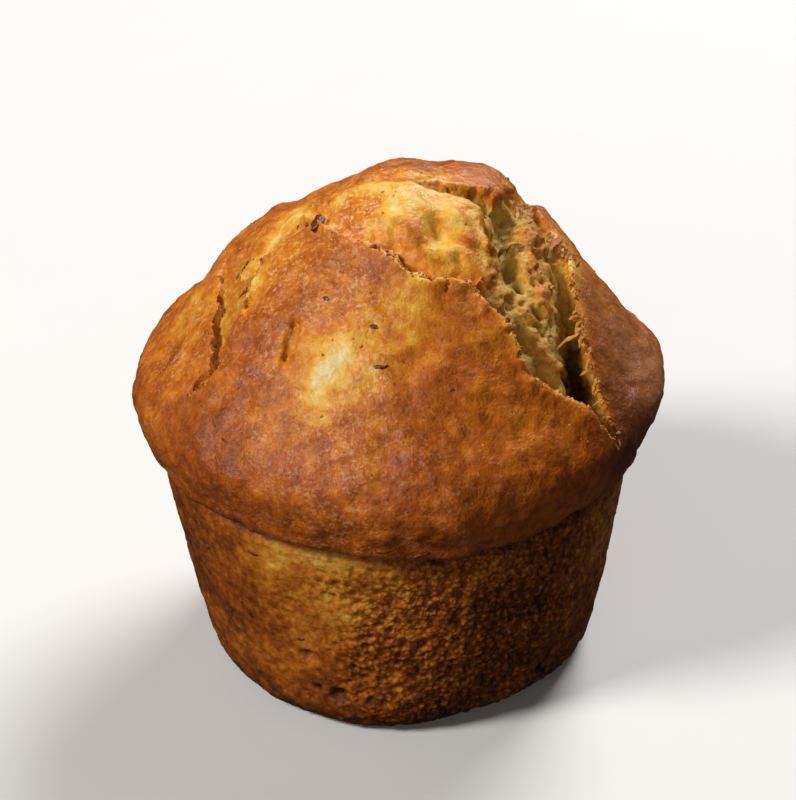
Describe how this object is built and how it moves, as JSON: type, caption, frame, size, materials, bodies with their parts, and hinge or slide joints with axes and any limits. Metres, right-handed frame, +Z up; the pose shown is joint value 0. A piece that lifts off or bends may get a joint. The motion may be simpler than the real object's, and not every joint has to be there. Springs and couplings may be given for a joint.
{
  "type": "muffin",
  "caption": "Large banana muffin without a paper case: tapered tin-baked body, overhanging brim and a domed crown with a wide split.",
  "frame": {"origin": "centre of the flat base that the muffin stands on", "axes": "+Z up from the base to the crown, -Y towards the side that the widest split runs down, +X to its right"},
  "size_m": [0.0852, 0.0852, 0.0838],
  "materials": {
    "baked_crust": "golden-brown baked crust with a faint oily gloss, pale crumb in the splits"
  },
  "bodies": {
    "root": {"muffin": "baked_crust"}
  },
  "joints": []
}
